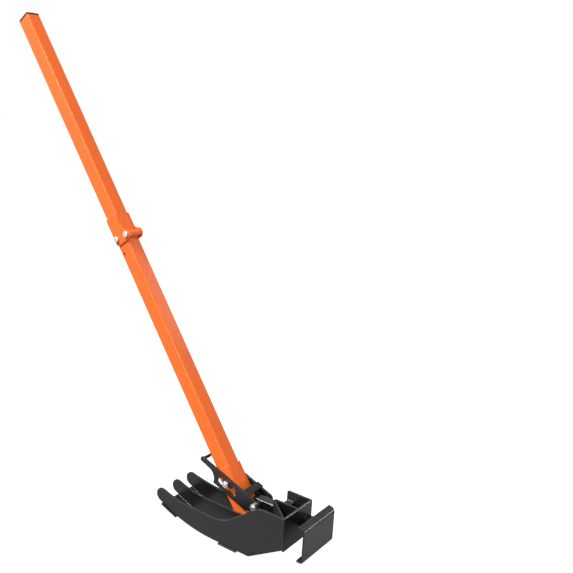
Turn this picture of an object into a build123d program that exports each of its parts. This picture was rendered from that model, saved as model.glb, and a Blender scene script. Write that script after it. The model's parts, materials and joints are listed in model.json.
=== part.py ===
from build123d import *
import os
from math import asin, atan2, cos, degrees, hypot, radians, sin, tan

# Tree puller: a long folding lever on a rocker base that grips a stem between two jaws.
# Working frame: the lever's pivot is the origin, +X points to the jaws, +Z is up and
# +Y points to the side that carries the pivot bolt's head. All sizes are millimetres.

# Lever tube
TUBE_SIDE = 50.0
TUBE_WALL = 3.0
TUBE_CORNER = 5.0
LEVER_TILT = 34.7
LEVER_REACH = 1745.0
TUBE_BELOW_PIVOT = 20.0
TUBE_JOINT_GAP = 0.5
HANG_HOLE = 8.0
HANG_HOLE_BELOW_HINGE = 47.0
HANG_HOLE_SETBACK = 13.0

# Heel plates that double the tube's sides at the pivot
HEEL_THICK = 4.0
HEEL_TOP = 162.0
HEEL_BELOW_PIVOT = 34.0
HEEL_CORNER = 14.0

# Folding hinge
HINGE_HEIGHT = 932.0
HINGE_PROUD = 7.0
JOINT_ABOVE_HINGE = 23.0
HINGE_PLATE_THICK = 4.0
HINGE_PLATE_RISE = 76.0
HINGE_EAR_RADIUS = 16.5
HINGE_EAR_BLEND = 18.0
HINGE_PLATE_CORNER = 9.0
KNUCKLE_RADIUS = 10.0
KNUCKLE_PLAY = 0.4
LOCK_ABOVE_HINGE = 4.5
LOCK_SETBACK = 14.5
LOCK_SLOT_PLAY = 0.4

# End cap
CAP_RIM = 4.0
CAP_PLUG = 22.0
CAP_PLUG_PLAY = 0.2

# Bolts: thread diameter, width across flats, head height, nut height
BIG_BOLT = 12.0
BIG_FLATS = 19.0
BIG_HEAD = 7.5
BIG_NUT = 10.0
SMALL_BOLT = 10.0
SMALL_FLATS = 17.0
SMALL_HEAD = 6.4
SMALL_NUT = 8.0
BOLT_POINT = 2.0
WASHER_THICK = 2.0
WASHER_RIM = 6.0
FIT = 0.05
SEAT = 0.1

# Pivot
PIVOT_BUSH_WALL = 5.0
BUSH_END_PLAY = 0.4

# Base plates
PLATE_THICK = 6.0
SIDE_PLAY = 1.0
BASE_WIDTH = 144.0
FRONT_REACH = 185.0
BOX_LENGTH = 82.5
BOX_TOP = 111.0
FRONT_BOTTOM = 17.0
FOOT_DEPTH = 50.0
FOOT_FRONT = 72.0
FOOT_REAR = -55.0
FINGER_TOP = 26.0
FINGER_RISE_START = -75.0
NOSE_X = -260.0
NOSE_Z = 18.5
NOSE_RADIUS = 22.0
CUTOUT_RADIUS = 30.0
SHOULDER_SLOPE = 35.5
SHOULDER_RADIUS = 100.0
PLATE_CORNER = 3.0

# Pieces across the base
FRONT_PLATE_THICK = 6.0
RIB_THICK = 5.0
RIB_BOTTOM = 40.0
GUIDE_THICK = 6.0
GUIDE_LENGTH = 24.0
GUIDE_INSET = 2.0
TREAD_THICK = 5.0
TREAD_OVERHANG = 4.0
FRONT_TREAD_START = 30.0
FRONT_TREAD_LENGTH = 65.0
REAR_TREAD_START = -198.0
REAR_TREAD_END = -258.0

# Drawbar and moving jaw
BAR_SIDE = 30.0
BAR_WALL = 4.0
BAR_CORNER = 3.0
BAR_HEIGHT = 61.0
BAR_PLAY = 0.3
BAR_TAIL = 20.0
JAW_FACE = 255.0
JAW_THICK = 6.0
JAW_TOP = 111.5
JAW_BOTTOM = 7.0
JAW_OVERHANG = 5.0
JAW_TOP_BEND = 14.0
JAW_LOW_BEND = 10.0
JAW_TOP_FLANGE = 21.0
JAW_LOW_FLANGE = 21.0
JAW_TEETH = 16
TOOTH_DEPTH = 3.0
TOOTH_TIP = 2.0

# Links
LINK_THICK = 6.0
LINK_LENGTH = 217.0
LINK_EYE = 16.0
LINK_TIP = 8.0
LINK_HEEL_REACH = 20.0
LINK_HEEL_DEPTH = 36.0
LINK_BACK_REACH = 145.0
LINK_BACK_DEPTH = 40.0
LINK_NECK_RADIUS = 31.0
NOTCH_START = 85.0
NOTCH_PITCH = 25.0
NOTCH_COUNT = 3
NOTCH_IN_USE = 1
NOTCH_DEPTH = 6.0
NOTCH_LEAN = 17.0
NOTCH_PLAY = 0.9
LEVER_BOLT_HEIGHT = 118.65
CHANNEL_LEAD = 5.0
CHANNEL_DROP = 20.5
LINK_PLAY = 0.3
BRIDGE_WIDTH = 22.0
BRIDGE_THICK = 5.0
BRIDGE_START = 31.0
GRIP_ROD = 10.0

# Where a stem is gripped, on the face of the fixed jaw: the origin of the finished part
STEM_FROM_BAR = 43.5

# Widths that follow from the stack of pieces round the lever
tube_half = TUBE_SIDE / 2
lever_half = tube_half + HEEL_THICK
hinge_half = tube_half + HINGE_PLATE_THICK
bay_half = lever_half + SIDE_PLAY
plate_outer = bay_half + PLATE_THICK
link_outer = bay_half + LINK_THICK
bar_half = BAR_SIDE / 2
outer_face = plate_outer - BASE_WIDTH
outer_inner_face = outer_face + PLATE_THICK
box_rear = FRONT_REACH - BOX_LENGTH
front_plate_back = FRONT_REACH - FRONT_PLATE_THICK
big_radius = BIG_BOLT / 2
small_radius = SMALL_BOLT / 2
hinge_x = tube_half + HINGE_PROUD
tube_joint = HINGE_HEIGHT + JOINT_ABOVE_HINGE
lock_height = HINGE_HEIGHT + LOCK_ABOVE_HINGE
hang_hole_height = HINGE_HEIGHT - HANG_HOLE_BELOW_HINGE

# Linkage at rest: the lever bolt lies in a notch of the links, which hang on the drawbar's bolt
notch_reach = NOTCH_START + NOTCH_IN_USE * NOTCH_PITCH
lever_bolt_x = -LEVER_BOLT_HEIGHT * sin(radians(LEVER_TILT))
lever_bolt_z = LEVER_BOLT_HEIGHT * cos(radians(LEVER_TILT))
notch_distance = hypot(notch_reach, NOTCH_DEPTH)
bolt_rise = degrees(asin((lever_bolt_z - BAR_HEIGHT) / notch_distance))
link_rise = bolt_rise + degrees(atan2(NOTCH_DEPTH, notch_reach))
bar_bolt_x = lever_bolt_x + notch_distance * cos(radians(bolt_rise))

# Rocker: a flat foot, an arc tangent to it and to the round noses of the plates
nose = Vector(NOSE_X, NOSE_Z)
nose_above_foot = NOSE_Z + FOOT_DEPTH
rocker_radius = (
    (NOSE_X - FOOT_REAR) ** 2 + nose_above_foot**2 - NOSE_RADIUS**2
) / (2 * (nose_above_foot - NOSE_RADIUS))
rocker_centre = Vector(FOOT_REAR, rocker_radius - FOOT_DEPTH)
top_above_nose = FINGER_TOP - NOSE_Z
finger_radius = (
    (NOSE_X - FINGER_RISE_START) ** 2 + top_above_nose**2 - NOSE_RADIUS**2
) / (2 * (NOSE_RADIUS - top_above_nose))
finger_centre = Vector(FINGER_RISE_START, FINGER_TOP + finger_radius)

lever_place = Rot(0, -LEVER_TILT, 0)
link_place = Pos(bar_bolt_x, 0, BAR_HEIGHT) * Rot(0, link_rise, 0)
to_origin = Pos(-FRONT_REACH, bar_half + STEM_FROM_BAR, -(BOX_TOP + FRONT_BOTTOM) / 2)


# Drawing helpers
def arc(centre, start, end):
    """Arc of under half a turn round centre."""
    start, end = Vector(*start), Vector(*end)
    radius = (start - centre).length
    middle = centre + ((start + end) * 0.5 - centre).normalized() * radius
    return ThreePointArc(start, middle, end)


def plate(face, low_y, high_y):
    """Face drawn in X and Z, given its thickness between two places on Y."""
    return extrude(Plane.XZ.offset(-high_y) * face, high_y - low_y)


def cross_hole(x, z, radius, half_width):
    """Round bar along Y, which also cuts round holes."""
    return Pos(x, 0, z) * Rot(90, 0, 0) * Cylinder(radius, 2 * half_width)


def facing(x, y, z, side):
    """Place for a bolt, nut or washer that faces out along +Y or -Y."""
    return Plane(origin=(x, y, z), x_dir=(1, 0, 0), z_dir=(0, side, 0))


def hexagon(flats):
    return RegularPolygon(flats / 2, 6, major_radius=False)


def bolt(diameter, flats, head, length):
    """Hexagon bolt: its head stands on Z = 0 and its shank hangs below."""
    return extrude(hexagon(flats), head) + extrude(Circle(diameter / 2), -length)


def nut(diameter, flats, height):
    return extrude(hexagon(flats) - Circle(diameter / 2 + FIT), height)


def washer(diameter):
    ring = Circle(diameter / 2 + WASHER_RIM) - Circle(diameter / 2 + FIT)
    return extrude(ring, WASHER_THICK)


# Base
def rear_outline(front_x):
    """Edges shared by the three plates, from the rising finger top round to the top of the box."""
    rise = finger_centre + (nose - finger_centre).normalized() * finger_radius
    fall = rocker_centre + (nose - rocker_centre).normalized() * rocker_radius
    belly = (FRONT_BOTTOM + FOOT_DEPTH) / (FRONT_REACH - FOOT_FRONT)
    front_low = (front_x, FRONT_BOTTOM - belly * (FRONT_REACH - front_x))
    return [
        arc(finger_centre, (FINGER_RISE_START, FINGER_TOP), rise),
        arc(nose, rise, fall),
        arc(rocker_centre, fall, (FOOT_REAR, -FOOT_DEPTH)),
        Line((FOOT_REAR, -FOOT_DEPTH), (FOOT_FRONT, -FOOT_DEPTH)),
        Line((FOOT_FRONT, -FOOT_DEPTH), front_low),
        Line(front_low, (front_x, BOX_TOP)),
        Line((front_x, BOX_TOP), (box_rear, BOX_TOP)),
    ]


def softened(edges):
    """Face with its sharp outer corners cut off."""
    face = make_face(edges)
    sharp = [(FRONT_REACH, BOX_TOP), (box_rear, BOX_TOP)]
    sharp += [(FRONT_REACH, FRONT_BOTTOM), (FOOT_FRONT, -FOOT_DEPTH)]
    corners = [v for v in face.vertices() if any(hypot(v.X - x, v.Y - z) < FIT for x, z in sharp)]
    return chamfer(corners, PLATE_CORNER)


def cutout_plate(low_y, front_x):
    """Rocker plate with the open topped cut-out that the lever and the links work in."""
    corner = Vector(box_rear - CUTOUT_RADIUS, FINGER_TOP + CUTOUT_RADIUS)
    face = softened(
        [
            Line((box_rear, BOX_TOP), (box_rear, corner.Y)),
            arc(corner, (box_rear, corner.Y), (corner.X, FINGER_TOP)),
            Line((corner.X, FINGER_TOP), (FINGER_RISE_START, FINGER_TOP)),
        ]
        + rear_outline(front_x)
    )
    return plate(face, low_y, low_y + PLATE_THICK) - cross_hole(0, 0, big_radius + FIT, BASE_WIDTH)


def side_plate_outer():
    """Rocker plate with a sloping shoulder in place of the cut-out."""
    slope = radians(SHOULDER_SLOPE)
    foot_x = box_rear - (BOX_TOP - FINGER_TOP) / tan(slope)
    run = SHOULDER_RADIUS * tan(slope / 2)
    centre = Vector(foot_x - run, FINGER_TOP + SHOULDER_RADIUS)
    bend = (foot_x + run * cos(slope), FINGER_TOP + run * sin(slope))
    face = softened(
        [
            Line((box_rear, BOX_TOP), bend),
            arc(centre, bend, (foot_x - run, FINGER_TOP)),
            Line((foot_x - run, FINGER_TOP), (FINGER_RISE_START, FINGER_TOP)),
        ]
        + rear_outline(FRONT_REACH)
    )
    return plate(face, outer_face, outer_face + PLATE_THICK)


def front_plate():
    """Fixed jaw between the outer and the drive plate, with a window for the drawbar."""
    width = bay_half - outer_inner_face
    height = BOX_TOP - FRONT_BOTTOM
    middle_y = (bay_half + outer_inner_face) / 2
    middle_z = (BOX_TOP + FRONT_BOTTOM) / 2
    middle_x = FRONT_REACH - FRONT_PLATE_THICK / 2
    blank = Pos(middle_x, middle_y, middle_z) * Box(FRONT_PLATE_THICK, width, height)
    window = BAR_SIDE + 2 * BAR_PLAY
    return blank - Pos(middle_x, 0, BAR_HEIGHT) * Box(3 * FRONT_PLATE_THICK, window, window)


def cell_corners():
    """Corners of the open cell between the outer and the middle plate, in X and Y."""
    return (box_rear, -plate_outer), (front_plate_back, outer_inner_face)


def diagonal_rib():
    """Upright gusset across the cell from the fixed jaw's outer corner to the middle plate."""
    (rear_x, rear_y), (front_x, front_y) = cell_corners()
    height = BOX_TOP - RIB_BOTTOM
    turn = degrees(atan2(rear_y - front_y, rear_x - front_x))
    length = hypot(rear_x - front_x, rear_y - front_y)
    middle = ((rear_x + front_x) / 2, (rear_y + front_y) / 2, (BOX_TOP + RIB_BOTTOM) / 2)
    bar = Pos(*middle) * Rot(0, 0, turn) * Box(2 * length, RIB_THICK, height)
    cell = Pos(*middle) * Box(front_x - rear_x, rear_y - front_y, height)
    return bar & cell


def drawbar_guide(low_z):
    """Flat bar between the cut-out plates that the drawbar slides along."""
    start = box_rear + GUIDE_INSET
    middle = (start + GUIDE_LENGTH / 2, 0, low_z + GUIDE_THICK / 2)
    return Pos(*middle) * Box(GUIDE_LENGTH, 2 * bay_half, GUIDE_THICK)


def tread_span():
    return outer_face - TREAD_OVERHANG, plate_outer + TREAD_OVERHANG


def front_tread():
    """Flat bar under the foot."""
    middle = (FRONT_TREAD_START - FRONT_TREAD_LENGTH / 2, -FOOT_DEPTH - TREAD_THICK / 2)
    return plate(Pos(*middle) * Rectangle(FRONT_TREAD_LENGTH, TREAD_THICK), *tread_span())


def rear_tread():
    """Bar bent to the rocker's arc, under the noses."""

    def on_rocker(x, radius):
        share = asin((x - rocker_centre.X) / rocker_radius)
        return rocker_centre + Vector(sin(share), -cos(share)) * radius

    low = rocker_radius + TREAD_THICK
    corners = [on_rocker(REAR_TREAD_START, rocker_radius), on_rocker(REAR_TREAD_END, rocker_radius)]
    under = [on_rocker(REAR_TREAD_START, low), on_rocker(REAR_TREAD_END, low)]
    face = make_face(
        [
            arc(rocker_centre, *corners),
            Line(corners[1], under[1]),
            arc(rocker_centre, under[1], under[0]),
            Line(under[0], corners[0]),
        ]
    )
    return plate(face, *tread_span())


def pivot_bolt():
    grip = 2 * (plate_outer + WASHER_THICK) + BIG_NUT + BOLT_POINT
    return facing(0, plate_outer + WASHER_THICK, 0, 1) * bolt(BIG_BOLT, BIG_FLATS, BIG_HEAD, grip)


def pivot_nut():
    return facing(0, -plate_outer - WASHER_THICK, 0, -1) * nut(BIG_BOLT, BIG_FLATS, BIG_NUT)


def pivot_washers():
    return [facing(0, side * plate_outer, 0, side) * washer(BIG_BOLT) for side in (1, -1)]


# Sliding jaw
def drawbar():
    """Square tube from the moving jaw back to the links' bolt."""
    start = bar_bolt_x - BAR_TAIL
    length = JAW_FACE - JAW_THICK - start
    section = RectangleRounded(BAR_SIDE, BAR_SIDE, BAR_CORNER)
    bore = BAR_SIDE - 2 * BAR_WALL
    tube = extrude(Plane.YZ * (section - Rectangle(bore, bore)), length)
    return Pos(start, 0, BAR_HEIGHT) * tube - cross_hole(bar_bolt_x, BAR_HEIGHT, big_radius + FIT, BAR_SIDE)


def jaw_plate():
    """Bent plate: a top flange with a toothed edge, a flat face and a short lower flange."""
    top = Vector(JAW_FACE - JAW_TOP_BEND, JAW_TOP - JAW_TOP_BEND)
    low = Vector(JAW_FACE - JAW_LOW_BEND, JAW_BOTTOM + JAW_LOW_BEND)
    edge_x = JAW_FACE - JAW_TOP_FLANGE
    lip_x = JAW_FACE - JAW_LOW_FLANGE
    inner_x = JAW_FACE - JAW_THICK
    under = JAW_TOP - JAW_THICK
    over = JAW_BOTTOM + JAW_THICK
    face = make_face(
        [
            Line((edge_x, JAW_TOP), (top.X, JAW_TOP)),
            arc(top, (top.X, JAW_TOP), (JAW_FACE, top.Y)),
            Line((JAW_FACE, top.Y), (JAW_FACE, low.Y)),
            arc(low, (JAW_FACE, low.Y), (low.X, JAW_BOTTOM)),
            Line((low.X, JAW_BOTTOM), (lip_x, JAW_BOTTOM)),
            Line((lip_x, JAW_BOTTOM), (lip_x, over)),
            Line((lip_x, over), (low.X, over)),
            arc(low, (low.X, over), (inner_x, low.Y)),
            Line((inner_x, low.Y), (inner_x, top.Y)),
            arc(top, (inner_x, top.Y), (top.X, under)),
            Line((top.X, under), (edge_x, under)),
            Line((edge_x, under), (edge_x, JAW_TOP)),
        ]
    )
    near, far = outer_face - JAW_OVERHANG, plate_outer + JAW_OVERHANG
    pitch = (far - near) / JAW_TEETH
    gap = Polyline(
        (edge_x - TOOTH_DEPTH, -(pitch - TOOTH_TIP) / 2),
        (edge_x + TOOTH_DEPTH, 0),
        (edge_x - TOOTH_DEPTH, (pitch - TOOTH_TIP) / 2),
        close=True,
    )
    cutter = extrude(make_face(gap), 2 * JAW_THICK)
    cuts = [Pos(0, near + k * pitch, JAW_TOP - 1.5 * JAW_THICK) * cutter for k in range(1, JAW_TEETH)]
    return plate(face, near, far) - cuts


# Links
def bar_bolt():
    seat = link_outer + SEAT
    grip = 2 * seat + BIG_NUT + BOLT_POINT
    return facing(bar_bolt_x, seat, BAR_HEIGHT, 1) * bolt(BIG_BOLT, BIG_FLATS, BIG_HEAD, grip)


def bar_nut():
    return facing(bar_bolt_x, -link_outer - SEAT, BAR_HEIGHT, -1) * nut(BIG_BOLT, BIG_FLATS, BIG_NUT)


def bar_spacers():
    """Tubes that fill the room between the drawbar and the links."""
    length = bay_half - bar_half - 2 * SEAT
    ring = extrude(Circle(big_radius + PIVOT_BUSH_WALL) - Circle(big_radius + FIT), length)
    return [facing(bar_bolt_x, side * (bar_half + SEAT), BAR_HEIGHT, side) * ring for side in (1, -1)]


def link_top_slope():
    """Angle of the links' straight upper edge, which runs tangent to the eye and the tip."""
    return asin((LINK_EYE - LINK_TIP) / LINK_LENGTH)


def link_face():
    """Side view of a link: the drawbar's bolt is the origin and the grip rod lies along -X."""
    lean = link_top_slope()
    up = Vector(-sin(lean), cos(lean))
    tip = Vector(-LINK_LENGTH, 0)
    eye_top, tip_top = up * LINK_EYE, tip + up * LINK_TIP
    tip_low = tip - Vector(0, LINK_TIP)
    back = Vector(-LINK_BACK_REACH, -LINK_BACK_DEPTH)
    neck = Vector(back.X - LINK_NECK_RADIUS, -LINK_TIP - LINK_NECK_RADIUS)
    neck_end = (back.X, neck.Y)
    heel = Vector(-LINK_HEEL_REACH, -LINK_HEEL_DEPTH)
    # The eye's lower edge runs tangent to the eye from the heel corner.
    swing = atan2(heel.Y, heel.X) + asin((heel.length**2 - LINK_EYE**2) ** 0.5 / heel.length)
    eye_low = Vector(cos(swing), sin(swing)) * LINK_EYE
    eye_front = Vector(LINK_EYE, 0)
    edges = [
        Line(eye_top, tip_top),
        arc(tip, tip_top, tip - Vector(LINK_TIP, 0)),
        arc(tip, tip - Vector(LINK_TIP, 0), tip_low),
        Line(tip_low, (neck.X, -LINK_TIP)),
        arc(neck, (neck.X, -LINK_TIP), neck_end),
        Line(neck_end, back),
        Line(back, heel),
        Line(heel, eye_low),
        arc(Vector(0, 0), eye_low, eye_front),
        arc(Vector(0, 0), eye_front, eye_top),
    ]
    return make_face(edges)


def round_slot(start, end, width):
    """Slot with round ends between two points."""
    middle = (start + end) * 0.5
    turn = degrees(atan2(end.Y - start.Y, end.X - start.X))
    return Pos(middle.X, middle.Y) * Rot(0, 0, turn) * SlotCenterToCenter((end - start).length, width)


def link_slot():
    """Channel that the lever bolt travels in, and the leaning notches that it drops into."""
    width = BIG_BOLT + 2 * NOTCH_PLAY
    drop = CHANNEL_DROP - NOTCH_DEPTH
    straight = Vector(0, -drop)
    leaning = Vector(drop * tan(radians(NOTCH_LEAN)), -drop)
    tops = [Vector(-NOTCH_START - k * NOTCH_PITCH, -NOTCH_DEPTH) for k in range(NOTCH_COUNT)]
    front_end = tops[0] + leaning + Vector(CHANNEL_LEAD, 0)
    slot = round_slot(front_end, tops[-1] + straight, width)
    for top in tops:
        slot += round_slot(top, top + leaning, width)
        slot += round_slot(top, top + straight, width)
    return slot


def link_plate(low_y):
    solid = plate(link_face() - link_slot(), low_y, low_y + LINK_THICK)
    solid -= cross_hole(0, 0, big_radius + FIT, 2 * link_outer)
    solid -= cross_hole(-LINK_LENGTH, 0, GRIP_ROD / 2 + FIT, 2 * link_outer)
    return link_place * solid


def link_bridge():
    """Strap welded across the links' upper edges, in front of the lever."""
    lean = link_top_slope()
    strap = Pos(-BRIDGE_START - BRIDGE_WIDTH / 2, 0, LINK_EYE + BRIDGE_THICK / 2) * Box(
        BRIDGE_WIDTH, 2 * link_outer, BRIDGE_THICK
    )
    return link_place * Rot(0, -degrees(lean), 0) * strap


def link_grip_rod():
    return link_place * cross_hole(-LINK_LENGTH, 0, GRIP_ROD / 2, link_outer)


# Lower lever, drawn upright with the pivot at the origin
def square_tube(low_z, high_z):
    bore = TUBE_SIDE - 2 * TUBE_WALL
    section = RectangleRounded(TUBE_SIDE, TUBE_SIDE, TUBE_CORNER) - Rectangle(bore, bore)
    return Pos(0, 0, low_z) * extrude(section, high_z - low_z)


def lock_slot():
    """Open topped slot that lets the lock bolt swing out of the lower tube about the hinge."""
    hinge = Vector(hinge_x, HINGE_HEIGHT)
    lock = Vector(-LOCK_SETBACK, lock_height)
    radius = (lock - hinge).length
    start = degrees(atan2(lock.Y - hinge.Y, lock.X - hinge.X))
    sweep = degrees((tube_joint - lock_height + SMALL_BOLT) / radius)
    path = CenterArc(hinge, radius, start, -sweep)
    return plate(SlotArc(path, SMALL_BOLT + 2 * LOCK_SLOT_PLAY), -TUBE_SIDE, TUBE_SIDE)


def lower_tube():
    tube = square_tube(-TUBE_BELOW_PIVOT, tube_joint - TUBE_JOINT_GAP)
    tube -= cross_hole(0, 0, big_radius + PIVOT_BUSH_WALL + FIT, TUBE_SIDE)
    tube -= cross_hole(0, LEVER_BOLT_HEIGHT, big_radius + FIT, TUBE_SIDE)
    tube -= cross_hole(-HANG_HOLE_SETBACK, hang_hole_height, HANG_HOLE / 2, TUBE_SIDE)
    return lever_place * (tube - lock_slot())


def heel_plate(low_y):
    """Plate welded to a side of the tube, to spread the load of the pivot and the lever bolt."""
    height = HEEL_TOP + HEEL_BELOW_PIVOT
    face = Pos(0, HEEL_TOP - height / 2) * Rectangle(TUBE_SIDE, height)
    face = chamfer(face.vertices().group_by(Axis.Y)[0], HEEL_CORNER)
    solid = plate(face, low_y, low_y + HEEL_THICK)
    solid -= cross_hole(0, 0, big_radius + PIVOT_BUSH_WALL + FIT, 2 * lever_half)
    solid -= cross_hole(0, LEVER_BOLT_HEIGHT, big_radius + FIT, 2 * lever_half)
    return lever_place * solid


def pivot_bush():
    """Bush welded through the heel, which turns on the pivot bolt."""
    half = bay_half - BUSH_END_PLAY
    outer = cross_hole(0, 0, big_radius + PIVOT_BUSH_WALL, half)
    return lever_place * (outer - cross_hole(0, 0, big_radius + FIT, 2 * half))


def lever_bolt():
    seat = link_outer + LINK_PLAY
    grip = 2 * seat + BIG_NUT + BOLT_POINT
    return lever_place * (facing(0, seat, LEVER_BOLT_HEIGHT, 1) * bolt(BIG_BOLT, BIG_FLATS, BIG_HEAD, grip))


def lever_bolt_nut():
    seat = -link_outer - LINK_PLAY
    return lever_place * (facing(0, seat, LEVER_BOLT_HEIGHT, -1) * nut(BIG_BOLT, BIG_FLATS, BIG_NUT))


def hinge_knuckle():
    """Barrel with a flat foot, welded to the front of the lower tube."""
    face = Pos(hinge_x, HINGE_HEIGHT) * Circle(KNUCKLE_RADIUS)
    foot = Pos(hinge_x - HINGE_PROUD / 2, HINGE_HEIGHT) * Rectangle(HINGE_PROUD, 2 * KNUCKLE_RADIUS)
    behind = Pos(0, HINGE_HEIGHT) * Rectangle(TUBE_SIDE, 4 * KNUCKLE_RADIUS)
    half = tube_half - KNUCKLE_PLAY
    barrel = plate(face + foot - behind, -half, half)
    return lever_place * (barrel - cross_hole(hinge_x, HINGE_HEIGHT, small_radius + FIT, TUBE_SIDE))


# Upper lever, drawn upright with the pivot at the origin
def upper_tube():
    return lever_place * square_tube(tube_joint, LEVER_REACH)


def hinge_plate(low_y):
    """Side plate of the hinge: a straight band on the tube with a round ear in front."""
    low_z = HINGE_HEIGHT - HINGE_EAR_RADIUS
    height = HINGE_EAR_RADIUS + HINGE_PLATE_RISE
    band = Pos(0, low_z + height / 2) * Rectangle(TUBE_SIDE, height)
    ear = Pos(hinge_x, HINGE_HEIGHT) * Circle(HINGE_EAR_RADIUS)
    foot = Pos(hinge_x / 2, HINGE_HEIGHT - HINGE_EAR_RADIUS / 2) * Rectangle(hinge_x, HINGE_EAR_RADIUS)
    face = band + ear + foot
    meet = HINGE_HEIGHT + (HINGE_EAR_RADIUS**2 - HINGE_PROUD**2) ** 0.5
    crease = [v for v in face.vertices() if hypot(v.X - tube_half, v.Y - meet) < FIT]
    face = fillet(crease, HINGE_EAR_BLEND)
    heel = [v for v in face.vertices() if hypot(v.X + tube_half, v.Y - low_z) < FIT]
    face = fillet(heel, HINGE_PLATE_CORNER)
    solid = plate(face, low_y, low_y + HINGE_PLATE_THICK)
    solid -= cross_hole(hinge_x, HINGE_HEIGHT, small_radius + FIT, 2 * hinge_half)
    solid -= cross_hole(-LOCK_SETBACK, lock_height, small_radius + FIT, 2 * hinge_half)
    return lever_place * solid


def hinge_fastener(x, z):
    """Bolt and nut through both hinge plates, with the head on the outer side."""
    grip = 2 * hinge_half + SMALL_NUT + BOLT_POINT
    screw = facing(x, -hinge_half, z, -1) * bolt(SMALL_BOLT, SMALL_FLATS, SMALL_HEAD, grip)
    lock = facing(x, hinge_half, z, 1) * nut(SMALL_BOLT, SMALL_FLATS, SMALL_NUT)
    return lever_place * screw, lever_place * lock


def end_cap():
    """Plastic plug: a rim over the tube's end and a sleeve inside it."""
    rim = extrude(RectangleRounded(TUBE_SIDE, TUBE_SIDE, TUBE_CORNER), CAP_RIM)
    bore = TUBE_SIDE - 2 * TUBE_WALL - 2 * CAP_PLUG_PLAY
    hollow = bore - 2 * TUBE_WALL
    plug = Rectangle(bore, bore) - Rectangle(hollow, hollow)
    return lever_place * Pos(0, 0, LEVER_REACH) * (rim + extrude(plug, -CAP_PLUG))


hinge_bolt, hinge_nut = hinge_fastener(hinge_x, HINGE_HEIGHT)
lock_bolt, lock_nut = hinge_fastener(-LOCK_SETBACK, lock_height)
bar_top = BAR_HEIGHT + bar_half + BAR_PLAY
bar_low = BAR_HEIGHT - bar_half - BAR_PLAY

nodes = {
    "side_plate_drive": cutout_plate(bay_half, FRONT_REACH),
    "side_plate_middle": cutout_plate(-plate_outer, front_plate_back),
    "side_plate_outer": side_plate_outer(),
    "front_plate": front_plate(),
    "diagonal_rib": diagonal_rib(),
    "drawbar_guide_upper": drawbar_guide(bar_top),
    "drawbar_guide_lower": drawbar_guide(bar_low - GUIDE_THICK),
    "front_tread": front_tread(),
    "rear_tread": rear_tread(),
    "pivot_bolt": pivot_bolt(),
    "pivot_nut": pivot_nut(),
    "pivot_washers": pivot_washers(),
    "drawbar": drawbar(),
    "jaw_plate": jaw_plate(),
    "drawbar_bolt": bar_bolt(),
    "drawbar_nut": bar_nut(),
    "drawbar_spacers": bar_spacers(),
    "link_plate_drive": link_plate(bay_half),
    "link_plate_outer": link_plate(-link_outer),
    "link_bridge": link_bridge(),
    "link_grip_rod": link_grip_rod(),
    "lower_tube": lower_tube(),
    "heel_plate_drive": heel_plate(tube_half),
    "heel_plate_outer": heel_plate(-lever_half),
    "pivot_bush": pivot_bush(),
    "lever_bolt": lever_bolt(),
    "lever_bolt_nut": lever_bolt_nut(),
    "hinge_knuckle": hinge_knuckle(),
    "upper_tube": upper_tube(),
    "hinge_plate_drive": hinge_plate(tube_half),
    "hinge_plate_outer": hinge_plate(-hinge_half),
    "hinge_bolt": hinge_bolt,
    "hinge_nut": hinge_nut,
    "lock_bolt": lock_bolt,
    "lock_nut": lock_nut,
    "end_cap": end_cap(),
}

os.makedirs("parts", exist_ok=True)
for name, piece in nodes.items():
    solids = piece if isinstance(piece, list) else [piece]
    group = Compound(children=[to_origin * solid for solid in solids])
    export_step(group, f"parts/{name}.step")
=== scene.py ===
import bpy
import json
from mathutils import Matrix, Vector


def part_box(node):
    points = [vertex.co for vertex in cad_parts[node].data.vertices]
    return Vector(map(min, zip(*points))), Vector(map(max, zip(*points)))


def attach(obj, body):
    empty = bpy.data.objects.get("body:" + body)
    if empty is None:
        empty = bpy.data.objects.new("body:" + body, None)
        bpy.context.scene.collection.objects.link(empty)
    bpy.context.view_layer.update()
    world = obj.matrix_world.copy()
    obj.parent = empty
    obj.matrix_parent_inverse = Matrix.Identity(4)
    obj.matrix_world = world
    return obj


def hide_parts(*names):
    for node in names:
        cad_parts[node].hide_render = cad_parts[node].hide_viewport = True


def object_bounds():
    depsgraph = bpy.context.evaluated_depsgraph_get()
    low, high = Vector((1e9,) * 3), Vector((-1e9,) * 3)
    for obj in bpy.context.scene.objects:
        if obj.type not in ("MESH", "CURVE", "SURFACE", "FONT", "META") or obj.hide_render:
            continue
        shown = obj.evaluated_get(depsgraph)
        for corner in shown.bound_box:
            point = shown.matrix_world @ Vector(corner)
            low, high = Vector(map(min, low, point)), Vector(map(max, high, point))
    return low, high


bl_info = {
    "name": "Tree Puller",
    "version": (1, 0, 0),
    "blender": (4, 5, 0),
    "location": "3D View > Sidebar > Puller",
    "description": "Powder coat, fasteners, weld beads and stage for a folding tree puller",
    "category": "Add Mesh",
}

import json
import math

import bmesh
import bpy
from mathutils import Matrix, Vector

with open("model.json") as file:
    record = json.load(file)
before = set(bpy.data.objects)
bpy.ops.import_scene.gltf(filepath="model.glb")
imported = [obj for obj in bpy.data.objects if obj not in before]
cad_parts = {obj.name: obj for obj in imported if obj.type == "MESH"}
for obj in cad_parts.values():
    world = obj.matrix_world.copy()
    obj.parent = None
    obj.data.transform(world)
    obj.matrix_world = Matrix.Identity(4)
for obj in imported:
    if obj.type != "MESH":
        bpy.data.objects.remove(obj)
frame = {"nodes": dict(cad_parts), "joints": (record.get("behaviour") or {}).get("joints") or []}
CAD_BOX = [list(corner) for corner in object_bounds()]
NODES = frame["nodes"]
JOINTS = {joint["name"]: joint for joint in frame["joints"]}

MM = 0.001
FLOOR = CAD_BOX[0][2]

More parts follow.
